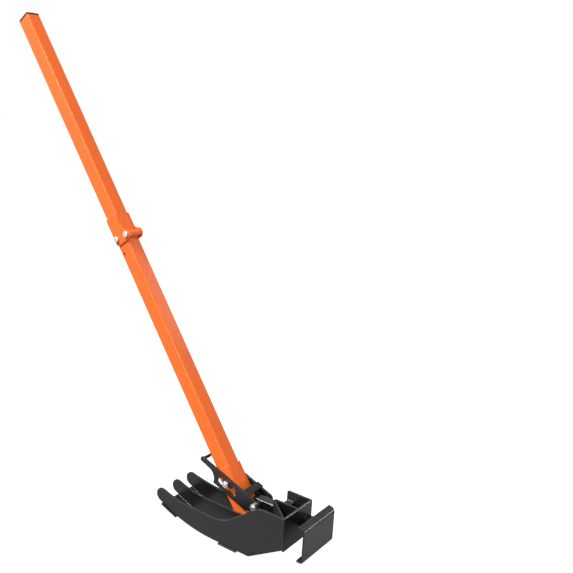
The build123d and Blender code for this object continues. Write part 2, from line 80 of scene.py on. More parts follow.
# Frames that the sizes in millimetres are measured in: at the lever's pivot, along the lever from
# the pivot, and along the links from the drawbar's bolt
PIVOT = Vector(JOINTS["lever_pivot"]["pos_m"])
BAR_BOLT = Vector(JOINTS["link_swing"]["pos_m"])
LEVER_TILT = math.radians(34.7)
LINK_RISE = math.radians(22.4975)
IN_BASE = Matrix.Translation(PIVOT)
IN_LEVER = IN_BASE @ Matrix.Rotation(-LEVER_TILT, 4, "Y")
IN_LINK = Matrix.Translation(BAR_BOLT) @ Matrix.Rotation(LINK_RISE, 4, "Y")

# The lever's tube, in millimetres
TUBE_HALF, TUBE_CORNER, LEVER_REACH = 25.0, 5.0, 1745.0

# Faces across the base, in millimetres from the lever's middle
DRIVE_IN, MIDDLE_IN, MIDDLE_OUT, OUTER_IN = 30.0, -30.0, -36.0, -102.0

# Distance within which points are one, angle under which faces are one, and angle over which an
# edge is eased
MERGE, FLAT_ANGLE, EASED_ANGLE = 0.01 * MM, math.radians(0.3), math.radians(35)
# Millimetres of room when points are picked by their place
ROOM = 1.0
# Steps of a full turn
SPIN_STEPS, CHAMFER_STEPS = 32, 36
# Share of a hexagon's flats at which its turned chamfer starts
CHAMFER_START = 0.475
# A weld bead's thickness at its ends and in turn along its ripples, as shares of its radius, and
# the sides of its section
BEAD_TIP, BEAD_SWELL, BEAD_SIDES = 0.45, (0.96, 1.0, 1.03, 1.0), 10
# Values of a noise between which its clouds run from dark to light
NOISE_DARK, NOISE_LIGHT = 0.3, 0.7

BLACK_NODES = (
    "drawbar_guide_upper", "drawbar_guide_lower", "front_tread", "rear_tread", "jaw_plate",
    "link_bridge", "link_grip_rod", "pivot_washers", "drawbar_spacers",
)
ORANGE_NODES = (
    "lower_tube", "upper_tube", "heel_plate_drive", "heel_plate_outer", "hinge_plate_drive",
    "hinge_plate_outer", "hinge_knuckle",
)


# Settings

class PullerFinish(bpy.types.PropertyGroup):
    black: bpy.props.FloatVectorProperty(
        name="Black coat", description="Colour of the base, jaw and links", subtype="COLOR", size=3,
        min=0.0, max=1.0, default=(0.0068, 0.0062, 0.0068))
    orange: bpy.props.FloatVectorProperty(
        name="Orange coat", description="Colour of the lever", subtype="COLOR", size=3,
        min=0.0, max=1.0, default=(0.86, 0.140, 0.013))
    zinc: bpy.props.FloatVectorProperty(
        name="Zinc plating", description="Colour of the bolts and nuts", subtype="COLOR", size=3,
        min=0.0, max=1.0, default=(0.70, 0.70, 0.71))
    plastic: bpy.props.FloatVectorProperty(
        name="Cap plastic", description="Colour of the plug in the tube's end", subtype="COLOR",
        size=3, min=0.0, max=1.0, default=(0.006, 0.006, 0.0065))
    peel: bpy.props.FloatProperty(
        name="Orange peel", description="Size of the dimples in the powder coat",
        subtype="DISTANCE", unit="LENGTH", min=0.0002, max=0.01, default=1.4 * MM)


class PullerSizes(bpy.types.PropertyGroup):
    plate_edge: bpy.props.FloatProperty(
        name="Plate edge", description="Rounding that the coat gives to a cut plate edge",
        subtype="DISTANCE", unit="LENGTH", min=0.0, max=0.003, default=0.7 * MM)
    box_edge: bpy.props.FloatProperty(
        name="Box edge", description="Rounding of the edges of the base's upright plates",
        subtype="DISTANCE", unit="LENGTH", min=0.0, max=0.003, default=1.2 * MM)
    front_drop: bpy.props.FloatProperty(
        name="Front drop", description="How far the front plate hangs below its solid",
        subtype="DISTANCE", unit="LENGTH", min=0.0, max=0.02, default=8.0 * MM)
    link_back: bpy.props.FloatProperty(
        name="Link back", description="How far the links' backs reach behind their solids",
        subtype="DISTANCE", unit="LENGTH", min=0.0, max=0.02, default=8.0 * MM)
    tube_edge: bpy.props.FloatProperty(
        name="Tube edge", description="Rounding of the tubes' cut ends and holes",
        subtype="DISTANCE", unit="LENGTH", min=0.0, max=0.003, default=0.6 * MM)
    bead: bpy.props.FloatProperty(
        name="Weld bead", description="Radius of a weld bead", subtype="DISTANCE", unit="LENGTH",
        min=0.0005, max=0.008, default=2.6 * MM)
    ripple: bpy.props.FloatProperty(
        name="Weld ripple", description="Distance between the ripples of a weld bead",
        subtype="DISTANCE", unit="LENGTH", min=0.0005, max=0.02, default=3.2 * MM)
    cap_lip: bpy.props.FloatProperty(
        name="Cap lip", description="Length of the cap's lip over the tube", subtype="DISTANCE",
        unit="LENGTH", min=0.0005, max=0.01, default=2.6 * MM)
    hex_chamfer: bpy.props.FloatProperty(
        name="Hexagon chamfer", description="Angle of the turned chamfer on heads and nuts",
        subtype="ANGLE", unit="ROTATION", min=0.1, max=1.2, default=math.radians(30))


class PullerStage(bpy.types.PropertyGroup):
    floor: bpy.props.FloatVectorProperty(
        name="Floor", description="Colour of the floor", subtype="COLOR", size=3,
        min=0.0, max=1.0, default=(0.28, 0.28, 0.28))
    glow: bpy.props.FloatProperty(
        name="Floor glow", description="Light that comes up through the floor",
        min=0.0, max=2.0, default=0.92)
    horizon: bpy.props.FloatProperty(
        name="Horizon", description="Strength of the white surround",
        min=0.0, max=10.0, default=1.0)
    sky: bpy.props.FloatProperty(
        name="Sky", description="Strength of the light from above",
        min=0.0, max=10.0, default=0.5)
    ground: bpy.props.FloatProperty(
        name="Ground", description="Strength of the light thrown up from below",
        min=0.0, max=10.0, default=0.25)
    key: bpy.props.FloatProperty(
        name="Key light", description="Power of the high light on the left", subtype="POWER",
        unit="POWER", min=0.0, max=5000.0, default=2250.0)
    front: bpy.props.FloatProperty(
        name="Front light", description="Power of the high light on the right", subtype="POWER",
        unit="POWER", min=0.0, max=5000.0, default=185.0)
    back: bpy.props.FloatProperty(
        name="Back light", description="Power of the large light behind", subtype="POWER",
        unit="POWER", min=0.0, max=5000.0, default=1.0)
    rim: bpy.props.FloatProperty(
        name="Rim light", description="Power of the high light behind the jaw", subtype="POWER",
        unit="POWER", min=0.0, max=5000.0, default=5.0)
    lines: bpy.props.FloatProperty(
        name="Edge lines",
        description="Strength of the cards that draw light lines on rounded edges",
        min=0.0, max=200.0, default=28.0)
    lens: bpy.props.FloatProperty(
        name="Lens", description="Focal length in millimetres",
        min=10.0, max=300.0, default=47.224)


# Materials

def start_material(name):
    material = bpy.data.materials.new(name)
    material.use_nodes = True
    tree = material.node_tree
    return material, tree, tree.nodes["Principled BSDF"]


def noise(tree, scale, detail=3.0, roughness=0.55):
    """Noise on the coordinates of the object."""
    place = tree.nodes.new("ShaderNodeTexCoord")
    node = tree.nodes.new("ShaderNodeTexNoise")
    node.inputs["Scale"].default_value = scale
    node.inputs["Detail"].default_value = detail
    node.inputs["Roughness"].default_value = roughness
    tree.links.new(place.outputs["Object"], node.inputs["Vector"])
    return node.outputs["Fac"]


def between(tree, factor, low, high):
    node = tree.nodes.new("ShaderNodeMapRange")
    node.inputs["From Min"].default_value = NOISE_DARK
    node.inputs["From Max"].default_value = NOISE_LIGHT
    node.inputs["To Min"].default_value = low
    node.inputs["To Max"].default_value = high
    tree.links.new(factor, node.inputs["Value"])
    return node.outputs["Result"]


def shades(tree, factor, dark, light):
    node = tree.nodes.new("ShaderNodeValToRGB")
    first, last = node.color_ramp.elements
    first.position, last.position = NOISE_DARK, NOISE_LIGHT
    first.color, last.color = (*dark, 1.0), (*light, 1.0)
    tree.links.new(factor, node.inputs["Fac"])
    return node.outputs["Color"]


def bump(tree, shader, height, strength, distance):
    node = tree.nodes.new("ShaderNodeBump")
    node.inputs["Strength"].default_value = strength
    node.inputs["Distance"].default_value = distance
    tree.links.new(height, node.inputs["Height"])
    tree.links.new(node.outputs["Normal"], shader.inputs["Normal"])


def clouded(name, dark, light, clouds, smooth, rough, patches):
    """Material whose colour drifts in clouds and whose roughness drifts in patches."""
    _, tree, shader = start_material(name)
    tree.links.new(shades(tree, noise(tree, clouds), dark, light), shader.inputs["Base Color"])
    tree.links.new(
        between(tree, noise(tree, patches), smooth, rough), shader.inputs["Roughness"])
    return tree, shader


def powder_coat(name, colour, peel, gloss, spread, specular):
    """Satin coat: cloudy colour, orange peel dimples and uneven gloss."""
    dark = [channel * (1 - spread) for channel in colour]
    light = [min(1.0, channel * (1 + spread)) for channel in colour]
    tree, shader = clouded(
        name, dark, light, clouds=11.0, smooth=gloss - 0.03, rough=gloss + 0.03, patches=75.0)
    dimples = noise(tree, 1.0 / peel, detail=1.0)
    bump(tree, shader, dimples, strength=0.05, distance=0.02 * MM)
    shader.inputs["Specular IOR Level"].default_value = specular


def zinc_plating(name, colour):
    """Bright plating with faint clouds and turning marks."""
    dark = [channel * 0.86 for channel in colour]
    tree, shader = clouded(
        name, dark, colour, clouds=160.0, smooth=0.30, rough=0.42, patches=420.0)
    marks = noise(tree, 1500.0, detail=2.0)
    bump(tree, shader, marks, strength=0.06, distance=0.1 * MM)
    shader.inputs["Metallic"].default_value = 1.0


def cap_plastic(name, colour):
    """Moulded plastic with a fine spark-eroded grain."""
    light = [channel * 1.5 for channel in colour]
    tree, shader = clouded(
        name, colour, light, clouds=40.0, smooth=0.46, rough=0.6, patches=300.0)
    grain = noise(tree, 2200.0, detail=2.0)
    bump(tree, shader, grain, strength=0.2, distance=0.1 * MM)
    shader.inputs["Specular IOR Level"].default_value = 0.2


def finish(name):
    """Material of the puller, made once by the finishes operator."""
    material = bpy.data.materials.get(name)
    if material is None:
        raise RuntimeError(f"the finish {name} has not been mixed")
    return material


# Shaping

def new_object(name, bm, material):
    """Turns a bmesh into an object of the scene."""
    mesh = bpy.data.meshes.new(name)
    bm.to_mesh(mesh)
    bm.free()
    mesh.materials.append(material)
    item = bpy.data.objects.new(name, mesh)
    bpy.context.scene.collection.objects.link(item)
    return item


def new_piece(name, bm, material, body):
    """Turns a bmesh in the part's frame into a piece that rides on a body."""
    bmesh.ops.remove_doubles(bm, verts=bm.verts, dist=0.002 * MM)
    bmesh.ops.recalc_face_normals(bm, faces=bm.faces)
    piece = new_object(name, bm, finish(material))
    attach(piece, body)
    return piece


def dress(piece, coat, edge_coat, edge):
    """Coats a piece and eases its cut edges."""
    piece.data.materials.clear()
    piece.data.materials.append(finish(coat))
    piece.data.materials.append(finish(edge_coat))
    seams = piece.modifiers.new("close seams", "WELD")
    seams.merge_threshold = MERGE
    facets = piece.modifiers.new("join facets", "DECIMATE")
    facets.decimate_type = "DISSOLVE"
    facets.angle_limit = FLAT_ANGLE
    edges = piece.modifiers.new("ease edges", "BEVEL")
    edges.width = edge
    edges.segments = 2
    edges.limit_method = "ANGLE"
    edges.angle_limit = EASED_ANGLE
    edges.use_clamp_overlap = False
    # The bevel faces take the edge coat, which on the black parts is a lighter painted highlight
    edges.material = 1
    shading = piece.modifiers.new("even shading", "WEIGHTED_NORMAL")
    shading.keep_sharp = True


def node_copy(node, place):
    """Merged copy of a node's mesh, taken into the frame of a place."""
    bm = bmesh.new()
    bm.from_mesh(NODES[node].data)
    bmesh.ops.transform(bm, matrix=place.inverted(), verts=bm.verts)
    bmesh.ops.remove_doubles(bm, verts=bm.verts, dist=MERGE)
    bmesh.ops.dissolve_limit(bm, angle_limit=FLAT_ANGLE, verts=bm.verts, edges=bm.edges)
    return bm


def recut_plate(node, ending, bm, place, body, coat, edge):
    """Puts a recut copy of a black plate in the place of its node."""
    bmesh.ops.transform(bm, matrix=place, verts=bm.verts)
    piece = new_piece(f"{node}_{ending}", bm, coat, body)
    dress(piece, coat, "black_coat_edge", edge)
    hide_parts(node)


def points_in(items):
    """The points among the shapes that a bmesh operator gives back."""
    return [item for item in items if isinstance(item, bmesh.types.BMVert)]


def edges_in(items):
    """The edges among the shapes that a bmesh operator gives back."""
    return [item for item in items if isinstance(item, bmesh.types.BMEdge)]


def spun(profile):
    """Shape of a profile of radius and height pairs, spun round Z."""
    bm = bmesh.new()
    verts = [bm.verts.new((radius, 0.0, height)) for radius, height in profile]
    edges = [bm.edges.new(pair) for pair in zip(verts, verts[1:])]
    bmesh.ops.spin(
        bm, geom=verts + edges, cent=(0, 0, 0), axis=(0, 0, 1), angle=math.tau, steps=SPIN_STEPS,
        use_merge=True)
    return bm


def turn_chamfer(bm, radius, height, angle, up):
    """Cuts a turned cone off the corners of a hexagon standing on Z."""
    for k in range(CHAMFER_STEPS):
        round_z = Matrix.Rotation(math.tau * k / CHAMFER_STEPS, 3, "Z")
        point = round_z @ Vector((radius, 0, 0)) + Vector((0, 0, height))
        normal = round_z @ Vector((math.sin(angle), 0, up * math.cos(angle)))
        geom = bm.verts[:] + bm.edges[:] + bm.faces[:]
        cut = bmesh.ops.bisect_plane(
            bm, geom=geom, dist=1e-7, plane_co=point, plane_no=normal, clear_outer=True)
        rim = edges_in(cut["geom_cut"])
        if len(rim) > 2:
            bmesh.ops.holes_fill(bm, edges=rim, sides=0)


def hexagon(flats, low, high, angle, ends):
    """Hexagon block with its corners chamfered at the named ends."""
    bm = bmesh.new()
    radius = flats / math.sqrt(3)
    middle = Matrix.Translation((0, 0, (low + high) / 2))
    bmesh.ops.create_cone(
        bm, cap_ends=True, segments=6, radius1=radius, radius2=radius, depth=high - low,
        matrix=middle @ Matrix.Rotation(math.pi / 2, 4, "Z"))
    for end in ends:
        turn_chamfer(bm, CHAMFER_START * flats, high if end > 0 else low, angle, end)
    return bm


def facing(centre, side, turn):
    """Place whose Z looks out along +Y or -Y, turned about Y with its lever."""
    out = Matrix(((1, 0, 0), (0, 0, side), (0, -side, 0))).to_4x4()
    return Matrix.Translation(centre) @ Matrix.Rotation(turn, 4, "Y") @ out


def thread_profile(radius, start, end, pitch, depth):
    """Radius and height pairs of a thread that runs down from start to a chamfered point."""
    pairs = [(radius, start)]
    height = start
    while height - pitch > end + pitch:
        pairs += [(radius - depth, height - 0.5 * pitch), (radius, height - pitch)]
        height -= pitch
    return pairs + [(radius, end + pitch), (radius - 1.3 * depth, end), (0.0, end)]


def join(bm, other):
    """Adds the shape of one bmesh to another."""
    mesh = bpy.data.meshes.new("join")
    other.to_mesh(mesh)
    other.free()
    bm.from_mesh(mesh)
    bpy.data.meshes.remove(mesh)


def bead(bm, start, end, radius, ripple):
    """Rippled weld bead between two points."""
    run = end - start
    steps = max(6, 4 * round(run.length / ripple))
    step = run / steps
    turn = run.to_track_quat("Z", "Y").to_matrix().to_4x4()
    ring = bmesh.ops.create_circle(
        bm, cap_ends=True, radius=BEAD_TIP * radius, segments=BEAD_SIDES,
        matrix=Matrix.Translation(start) @ turn)
    edges = list({edge for vert in ring["verts"] for edge in vert.link_edges})
    size, centre = BEAD_TIP, start
    for k in range(1, steps + 1):
        grown = bmesh.ops.extrude_edge_only(bm, edges=edges)["geom"]
        verts = points_in(grown)
        edges = [edge for edge in edges_in(grown) if all(vert in verts for vert in edge.verts)]
        bmesh.ops.translate(bm, verts=verts, vec=step)
        centre = centre + step
        next_size = BEAD_TIP if k == steps else BEAD_SWELL[k % len(BEAD_SWELL)]
        bmesh.ops.scale(
            bm, verts=verts, vec=(next_size / size,) * 3, space=Matrix.Translation(-centre))
        size = next_size
    bmesh.ops.holes_fill(bm, edges=edges, sides=0)


# Operators

class PULLER_OT_finishes(bpy.types.Operator):
    """Mix the powder coats, the plating and the plastic"""

    bl_idname = "puller.finishes"
    bl_label = "Mix finishes"

    def execute(self, context):
        look = context.scene.puller_finish
        black, orange = list(look.black), list(look.orange)
        # The black parts' edge coat is three times lighter than the black: a painted highlight
        # along the eased edges
        edge_highlight = [3.0 * channel for channel in black]
        # Finish, colour, gloss, spread of the clouds, specular level
        coats = (
            ("black_powder_coat", black, 0.32, 0.08, 0.45),
            ("black_coat_edge", edge_highlight, 0.22, 0.08, 0.8),
            # The inside coat is the black with little sheen: painted shade for the diagonal rib and
            # the drive link, which sit in shadow
            ("black_coat_inside", black, 0.45, 0.08, 0.18),
            ("drawbar_paint", black, 0.2, 0.08, 0.55),
            ("orange_powder_coat", orange, 0.26, 0.03, 0.38),
            ("orange_coat_edge", orange, 0.24, 0.03, 0.5),
        )
        for name, colour, gloss, spread, specular in coats:
            powder_coat(name, colour, look.peel, gloss, spread, specular)
        zinc_plating("zinc_plating", list(look.zinc))
        cap_plastic("cap_plastic", list(look.plastic))
        return {"FINISHED"}


class PULLER_OT_base(bpy.types.Operator):
    """Coat the base, jaw and links black, and cut the plates that reach past their solids"""

    bl_idname = "puller.base"
    bl_label = "Coat base and links"

    # Edges of the solids that are moved: the front plate's foot, in millimetres from the pivot,
    # and the links' neck and back, in millimetres from the drawbar bolt
    FRONT_FOOT = 17.0
    NECK_START, BACK_END, TIP_UNDERSIDE = -176.0, -145.0, -8.0

    def execute(self, context):
        sizes = context.scene.puller_sizes
        for node in BLACK_NODES:
            dress(NODES[node], "black_powder_coat", "black_coat_edge", sizes.plate_edge)
        # The diagonal rib and the drive link take the inside coat, a duller copy of the black that
        # paints shade
        dress(NODES["diagonal_rib"], "black_coat_inside", "black_coat_edge", sizes.box_edge)
        dress(NODES["drawbar"], "drawbar_paint", "drawbar_paint", sizes.tube_edge)
        self.front_plate(sizes)
        self.link_plate("link_plate_outer", "black_powder_coat", sizes)
        self.link_plate("link_plate_drive", "black_coat_inside", sizes)
        return {"FINISHED"}

    def front_plate(self, sizes):
        """Front plate that hangs lower than its solid."""
        bm = node_copy("front_plate", IN_BASE)
        foot = [vert for vert in bm.verts if vert.co.z < (self.FRONT_FOOT + ROOM) * MM]
        bmesh.ops.translate(bm, verts=foot, vec=(0, 0, -sizes.front_drop))
        recut_plate(
            "front_plate", "deep", bm, IN_BASE, "base", "black_powder_coat", sizes.box_edge)

    def link_plate(self, node, coat, sizes):
        """Link plate with more stock behind its notches than its solid."""
        bm = node_copy(node, IN_LINK)
        back = [vert for vert in bm.verts if self.on_back(vert.co / MM)]
        bmesh.ops.translate(bm, verts=back, vec=(-sizes.link_back, 0, 0))
        recut_plate(node, "long", bm, IN_LINK, "links", coat, sizes.plate_edge)

    def on_back(self, point):
        along = self.NECK_START - ROOM < point.x < self.BACK_END + ROOM
        return along and point.z < self.TIP_UNDERSIDE + ROOM


class PULLER_OT_rockers(bpy.types.Operator):
    """Cut the three rocker plates, whose fingers are slimmer than the solids"""

    bl_idname = "puller.rockers"
    bl_label = "Cut rocker plates"

    # Node, height of the finger's straight top, and place where it starts to rise
    FINGERS = (
        ("side_plate_drive", 22.0, -95.0),
        ("side_plate_middle", 18.5, -140.0),
        ("side_plate_outer", 20.5, -140.0),
    )
    # Contour of the solids, in millimetres from the pivot
    NOSE_X, NOSE_Z, NOSE_RADIUS = -260.0, 18.5, 22.0
    SOLID_TOP = 26.0
    BOX_REAR, BOX_TOP = 102.5, 111.0
    SHOULDER_SLOPE, SHOULDER_RADIUS = math.radians(35.5), 100.0
    # Rear end of the lever's bay, and the height under which its floor and corner are lowered
    BAY_REAR, BAY_CORNER_TOP = -65.0, 101.0

    def execute(self, context):
        for node, top, rise in self.FINGERS:
            self.rocker(node, top, rise, context.scene.puller_sizes.box_edge)
        return {"FINISHED"}

    def rocker(self, node, top, rise, edge):
        bm = node_copy(node, IN_BASE)
        contour = [side for side in bm.edges if self.on_contour(side)]
        bmesh.ops.subdivide_edges(bm, edges=contour, cuts=3)
        for vert in bm.verts:
            x, z = vert.co.x / MM, vert.co.z / MM
            if z < self.SOLID_TOP - ROOM or x < self.NOSE_X or x > self.BOX_REAR + ROOM:
                continue
            if node == "side_plate_outer":
                vert.co.z = min(z, max(self.finger(x, top, rise), self.shoulder(x, top))) * MM
            elif x < self.BAY_REAR:
                vert.co.z = min(z, self.finger(x, top, rise)) * MM
            elif z < self.BAY_CORNER_TOP:
                vert.co.z = (z + top - self.SOLID_TOP) * MM
        recut_plate(node, "slim", bm, IN_BASE, "base", "black_powder_coat", edge)

    def on_contour(self, side):
        """Whether an edge runs along the upper outline of a plate."""
        first, last = side.verts
        along = abs(first.co.y - last.co.y) < MERGE
        upper = all(
            vert.co.z / MM > self.SOLID_TOP - ROOM
            and self.NOSE_X < vert.co.x / MM < self.BOX_REAR - ROOM
            for vert in side.verts)
        faces = side.link_faces
        turned = len(faces) == 2 and abs(faces[0].normal.dot(faces[1].normal)) < 0.1
        return along and upper and turned

    def finger(self, x, top, rise):
        """Height of the finger's top, an arc between the straight and the round nose."""
        above = top - self.NOSE_Z
        span = (self.NOSE_X - rise) ** 2 + above ** 2 - self.NOSE_RADIUS ** 2
        radius = span / (2 * (self.NOSE_RADIUS - above))
        reach = max(rise - x, 0.0)
        return top + radius - math.sqrt(radius ** 2 - reach ** 2)

    def shoulder(self, x, top):
        """Height of the outer plate's shoulder, an arc between the straight and the slope."""
        slope = math.tan(self.SHOULDER_SLOPE)
        foot = self.BOX_REAR - (self.BOX_TOP - top) / slope
        run = self.SHOULDER_RADIUS * math.tan(self.SHOULDER_SLOPE / 2)
        if x > foot + run * math.cos(self.SHOULDER_SLOPE):
            return self.BOX_TOP - (self.BOX_REAR - x) * slope
        reach = max(x - foot + run, 0.0)
        return top + self.SHOULDER_RADIUS - math.sqrt(self.SHOULDER_RADIUS ** 2 - reach ** 2)


class PULLER_OT_lever(bpy.types.Operator):
    """Coat the lever orange and finish its bush and its cap"""

    bl_idname = "puller.lever"
    bl_label = "Coat lever"

    # The cap's lip, in millimetres: how far it stands out from the tube, its wall, how far it
    # reaches up into the rim, and the rounding of its edges
    LIP_PROUD, LIP_WALL, LIP_IN_RIM, LIP_EDGE = 0.35, 1.6, 1.0, 0.25

    def execute(self, context):
        sizes = context.scene.puller_sizes
        for node in ORANGE_NODES:
            dress(NODES[node], "orange_powder_coat", "orange_coat_edge", sizes.tube_edge)
        dress(NODES["pivot_bush"], "zinc_plating", "zinc_plating", 0.5 * sizes.tube_edge)
        dress(NODES["end_cap"], "cap_plastic", "cap_plastic", sizes.tube_edge)
        self.cap_lip(sizes.cap_lip)
        return {"FINISHED"}

    def cap_lip(self, depth):
        """Thin lip of the cap, which laps over the sawn end of the tube."""
        half, corner = (TUBE_HALF + self.LIP_PROUD) * MM, (TUBE_CORNER + self.LIP_PROUD) * MM
        bm = bmesh.new()
        bmesh.ops.create_circle(
            bm, cap_ends=True, segments=4, radius=math.sqrt(2) * half,
            matrix=Matrix.Rotation(math.pi / 4, 4, "Z"))
        bmesh.ops.bevel(
            bm, geom=bm.verts[:], offset=corner, offset_type="OFFSET", affect="VERTICES",
            segments=6, profile=0.5, material=-1)
        sheet = bm.faces[:]
        bmesh.ops.inset_region(
            bm, faces=sheet, thickness=self.LIP_WALL * MM, use_boundary=True,
            use_even_offset=True)
        bmesh.ops.delete(bm, geom=sheet, context="FACES_ONLY")
        grown = bmesh.ops.extrude_face_region(bm, geom=bm.faces[:], use_keep_orig=True)["geom"]
        bmesh.ops.translate(
            bm, verts=points_in(grown), vec=(0, 0, depth + self.LIP_IN_RIM * MM))
        bmesh.ops.recalc_face_normals(bm, faces=bm.faces)
        rims = [edge for edge in bm.edges if edge.calc_face_angle(0.0) > EASED_ANGLE]
        bmesh.ops.bevel(
            bm, geom=rims, offset=self.LIP_EDGE * MM, offset_type="OFFSET", affect="EDGES",
            segments=2, profile=0.5, material=-1)
        place = IN_LEVER @ Matrix.Translation((0, 0, LEVER_REACH * MM - depth))
        bmesh.ops.transform(bm, matrix=place, verts=bm.verts)
        new_piece("cap_lip", bm, "cap_plastic", "upper_lever")


class PULLER_OT_fasteners(bpy.types.Operator):
    """Make the hexagon bolts and nuts"""

    bl_idname = "puller.fasteners"
    bl_label = "Make fasteners"

    # Node, body, side of the head, turn, diameter, flats, head height, thread pitch
    BOLTS = (
        ("pivot_bolt", "base", 1, 0.0, 12.0, 19.0, 7.5, 1.75),
        ("drawbar_bolt", "link_pin", 1, 0.0, 12.0, 19.0, 7.5, 1.75),
        ("lever_bolt", "lever", 1, -LEVER_TILT, 12.0, 19.0, 7.5, 1.75),
        ("hinge_bolt", "upper_lever", -1, -LEVER_TILT, 10.0, 17.0, 6.4, 1.5),
        ("lock_bolt", "upper_lever", -1, -LEVER_TILT, 10.0, 17.0, 6.4, 1.5),
    )
    # Node, body, side it faces, turn, flats, thread diameter
    NUTS = (
        ("pivot_nut", "base", -1, 0.0, 19.0, 12.0),
        ("drawbar_nut", "link_pin", -1, 0.0, 19.0, 12.0),
        ("lever_bolt_nut", "lever", -1, -LEVER_TILT, 19.0, 12.0),
        ("hinge_nut", "upper_lever", 1, -LEVER_TILT, 17.0, 10.0),
        ("lock_nut", "upper_lever", 1, -LEVER_TILT, 17.0, 10.0),
    )
    # The head's washer face: its height in millimetres, and its radius as a share of the flats
    WASHER_FACE, WASHER_SHARE = 0.6, 0.47
    # Share of a bolt's length that has no thread, and a thread's depth as a share of its pitch
    PLAIN_SHARE, THREAD_SHARE = 0.55, 0.5
    # The lip in a nut's mouth: steps out from the thread and up from the face, in millimetres
    NUT_LIP = ((1.4, -0.3), (1.3, 0.05), (0.9, 0.05), (0.0, -0.8), (1.4, -0.3))

    def execute(self, context):
        angle = context.scene.puller_sizes.hex_chamfer
        for node, body, side, turn, *lengths in self.BOLTS:
            self.bolt(node, body, side, turn, *(length * MM for length in lengths), angle)
        for node, body, side, turn, *lengths in self.NUTS:
            self.nut(node, body, side, turn, *(length * MM for length in lengths), angle)
        return {"FINISHED"}

    def bolt(self, node, body, side, turn, diameter, flats, head, pitch, angle):
        low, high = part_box(node)
        middle = (low + high) / 2
        under_head = high.y - head if side > 0 else low.y + head
        length = high.y - low.y - head
        radius, washer = diameter / 2, self.WASHER_SHARE * flats
        face = self.WASHER_FACE * MM
        bm = hexagon(flats, face, head, angle, (1,))
        profile = [(0.0, face), (washer, face), (washer, 0.0), (radius, 0.0)]
        profile += thread_profile(
            radius, -self.PLAIN_SHARE * length, -length, pitch, self.THREAD_SHARE * pitch)
        join(bm, spun(profile))
        place = facing((middle.x, under_head, middle.z), side, turn)
        self.swap(f"{node}_threaded", bm, place, body, node)

    def nut(self, node, body, side, turn, flats, diameter, angle):
        low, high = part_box(node)
        middle = (low + high) / 2
        height, radius = high.y - low.y, diameter / 2
        bm = hexagon(flats, 0.0, height, angle, (1, -1))
        join(bm, spun([(radius + out * MM, height + up * MM) for out, up in self.NUT_LIP]))
        place = facing((middle.x, low.y if side > 0 else high.y, middle.z), side, turn)
        self.swap(f"{node}_chamfered", bm, place, body, node)

    def swap(self, name, bm, place, body, node):
        """Puts a fastener in the place of its node."""
        bmesh.ops.transform(bm, matrix=place, verts=bm.verts)
        piece = new_piece(name, bm, "zinc_plating", body)
        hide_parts(node)


